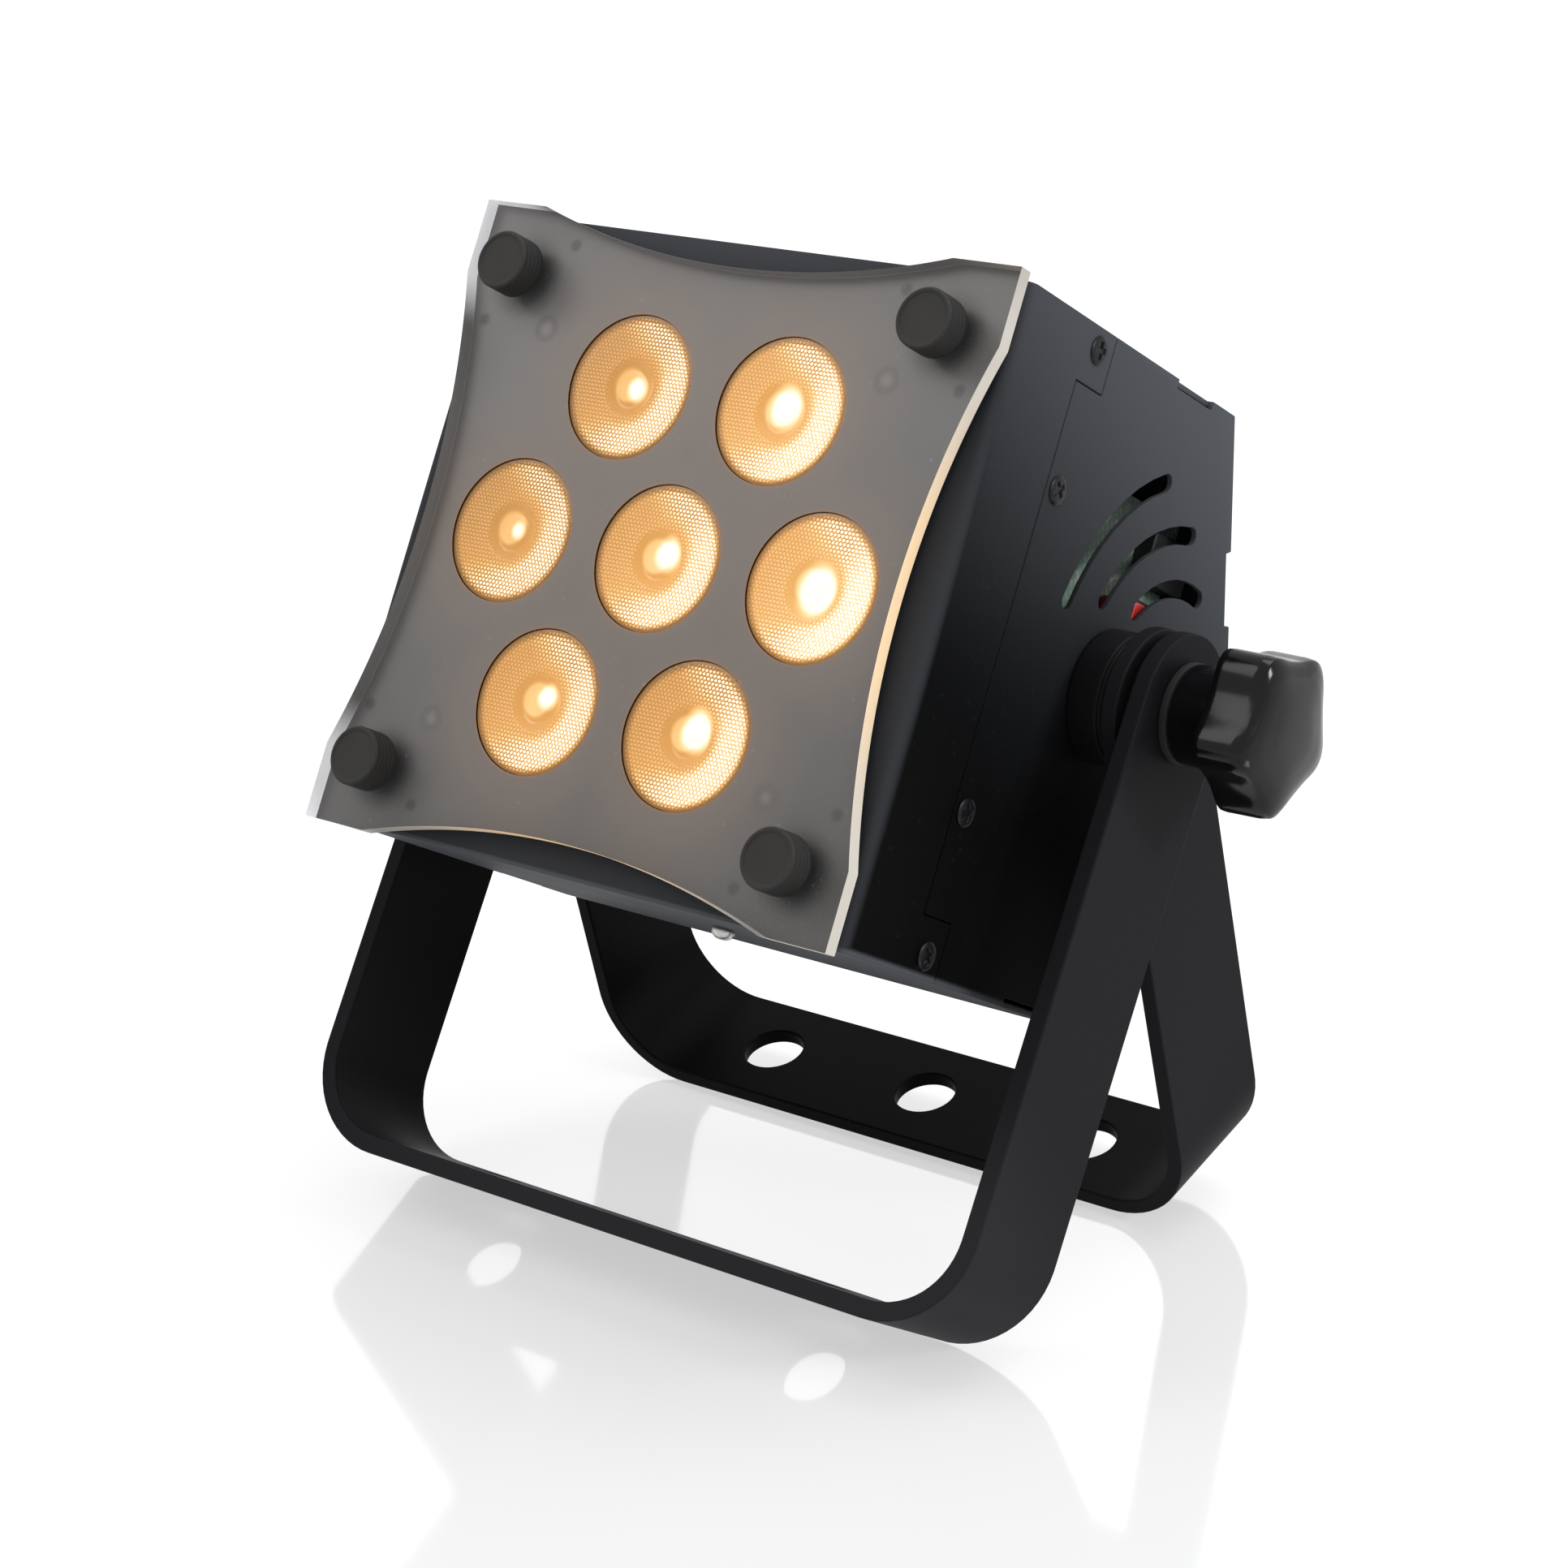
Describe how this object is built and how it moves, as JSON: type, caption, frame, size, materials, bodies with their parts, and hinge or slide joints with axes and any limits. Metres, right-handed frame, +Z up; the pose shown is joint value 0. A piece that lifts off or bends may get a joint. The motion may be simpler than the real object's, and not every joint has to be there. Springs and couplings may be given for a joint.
{
  "type": "par can light",
  "caption": "Square LED stage light: seven lenses behind a smoked plate on a sheet-metal head, clamped by star knobs between two U brackets that spread into a floor stand.",
  "frame": {"origin": "middle of the footprint's bounding box, on the floor the two brackets stand on", "axes": "+X along the tilt axis, +Y to the back, +Z up; the light shines towards -Y, tilted up"},
  "size_m": [0.283, 0.1873, 0.2703],
  "materials": {
    "powder_black": "fine satin powder coat",
    "housing_black": "fine satin powder coat on bent sheet",
    "smoked_acrylic": "smoked translucent acrylic with polished edges",
    "amber_lens": "moulded lens with a fine bead texture, lit warm amber",
    "black_plastic": "moulded",
    "gloss_black": "moulded, polished",
    "black_rubber": "matte",
    "screw_steel": "blackened steel",
    "bare_steel": "zinc plated",
    "heat_sink_aluminium": "extruded",
    "board_white": "white solder mask",
    "board_green": "green solder mask",
    "supply_case": "folded sheet",
    "display_window": "polished window",
    "socket_blue": "moulded",
    "socket_grey": "moulded"
  },
  "bodies": {
    "front_bracket": {"front_bracket": "powder_black"},
    "rear_bracket": {"rear_bracket": "powder_black"},
    "head": {"front_shell": "housing_black", "rear_shell": "housing_black", "smoked_plate": "smoked_acrylic", "plate_spacer_top_left": "black_rubber", "plate_spacer_top_right": "black_rubber", "plate_spacer_bottom_left": "black_rubber", "plate_spacer_bottom_right": "black_rubber", "panel_screw_top_left": "screw_steel", "panel_screw_top_right": "screw_steel", "panel_screw_bottom_left": "screw_steel", "panel_screw_bottom_right": "screw_steel", "lens_1": "amber_lens", "lens_2": "amber_lens", "lens_3": "amber_lens", "lens_4": "amber_lens", "lens_5": "amber_lens", "lens_6": "amber_lens", "lens_7": "amber_lens", "lens_tray": "black_plastic", "led_board": "board_white", "heat_sink": "heat_sink_aluminium", "driver_board": "board_green", "power_supply": "supply_case", "tab_screw_left_top": "screw_steel", "tab_screw_left_bottom": "screw_steel", "seam_screw_left_top": "screw_steel", "seam_screw_left_bottom": "screw_steel", "side_boss_left": "black_plastic", "pivot_bolt_left": "bare_steel", "arm_washer_left": "black_rubber", "knob_washer_left": "black_rubber", "tab_screw_right_top": "screw_steel", "tab_screw_right_bottom": "screw_steel", "seam_screw_right_top": "screw_steel", "seam_screw_right_bottom": "screw_steel", "side_boss_right": "black_plastic", "pivot_bolt_right": "bare_steel", "arm_washer_right": "black_rubber", "knob_washer_right": "black_rubber", "display_panel": "display_window", "fuse_holder": "black_plastic", "data_in_socket": "black_plastic", "data_out_socket": "black_plastic", "power_in_socket": "socket_blue", "power_out_socket": "socket_grey", "bottom_screw": "bare_steel"},
    "clamp_knob_left": {"clamp_knob_left": "gloss_black"},
    "clamp_knob_right": {"clamp_knob_right": "gloss_black"},
    "thumb_screw_top_left": {"thumb_screw_top_left": "black_plastic"},
    "thumb_screw_top_right": {"thumb_screw_top_right": "black_plastic"},
    "thumb_screw_bottom_left": {"thumb_screw_bottom_left": "black_plastic"},
    "thumb_screw_bottom_right": {"thumb_screw_bottom_right": "black_plastic"},
    "menu_button": {"menu_button": "black_plastic"},
    "down_button": {"down_button": "black_plastic"},
    "up_button": {"up_button": "black_plastic"},
    "enter_button": {"enter_button": "black_plastic"}
  },
  "joints": [
    {"name": "stand_spread", "type": "hinge", "parent": "front_bracket", "child": "rear_bracket", "pos_m": [0, 0.0258, 0.15474], "axis": [1, 0, 0], "range_deg": [-46, 130]},
    {"name": "head_tilt", "type": "hinge", "parent": "front_bracket", "child": "head", "pos_m": [0, 0.0258, 0.15474], "axis": [1, 0, 0], "range_deg": [-62, 117]},
    {"name": "clamp_knob_left_turn", "type": "hinge", "parent": "head", "child": "clamp_knob_left", "pos_m": [0, 0.0258, 0.15474], "axis": [1, 0, 0], "continuous": true},
    {"name": "clamp_knob_right_turn", "type": "hinge", "parent": "head", "child": "clamp_knob_right", "pos_m": [0, 0.0258, 0.15474], "axis": [1, 0, 0], "continuous": true},
    {"name": "thumb_screw_top_left_turn", "type": "hinge", "parent": "head", "child": "thumb_screw_top_left", "pos_m": [-0.0668, -0.02115, 0.25466], "axis": [0, -0.8862, 0.4633], "continuous": true},
    {"name": "thumb_screw_top_right_turn", "type": "hinge", "parent": "head", "child": "thumb_screw_top_right", "pos_m": [0.0668, -0.02115, 0.25466], "axis": [0, -0.8862, 0.4633], "continuous": true},
    {"name": "thumb_screw_bottom_left_turn", "type": "hinge", "parent": "head", "child": "thumb_screw_bottom_left", "pos_m": [-0.0668, -0.08305, 0.13627], "axis": [0, -0.8862, 0.4633], "continuous": true},
    {"name": "thumb_screw_bottom_right_turn", "type": "hinge", "parent": "head", "child": "thumb_screw_bottom_right", "pos_m": [0.0668, -0.08305, 0.13627], "axis": [0, -0.8862, 0.4633], "continuous": true},
    {"name": "menu_button_press", "type": "slide", "parent": "head", "child": "menu_button", "axis": [0, -1, -0.0057], "range_m": [0, 0.0015], "stiffness_N_per_m": 150},
    {"name": "down_button_press", "type": "slide", "parent": "head", "child": "down_button", "axis": [0, -1, -0.0057], "range_m": [0, 0.0015], "stiffness_N_per_m": 150},
    {"name": "up_button_press", "type": "slide", "parent": "head", "child": "up_button", "axis": [0, -1, -0.0057], "range_m": [0, 0.0015], "stiffness_N_per_m": 150},
    {"name": "enter_button_press", "type": "slide", "parent": "head", "child": "enter_button", "axis": [0, -1, -0.0057], "range_m": [0, 0.0015], "stiffness_N_per_m": 150}
  ]
}
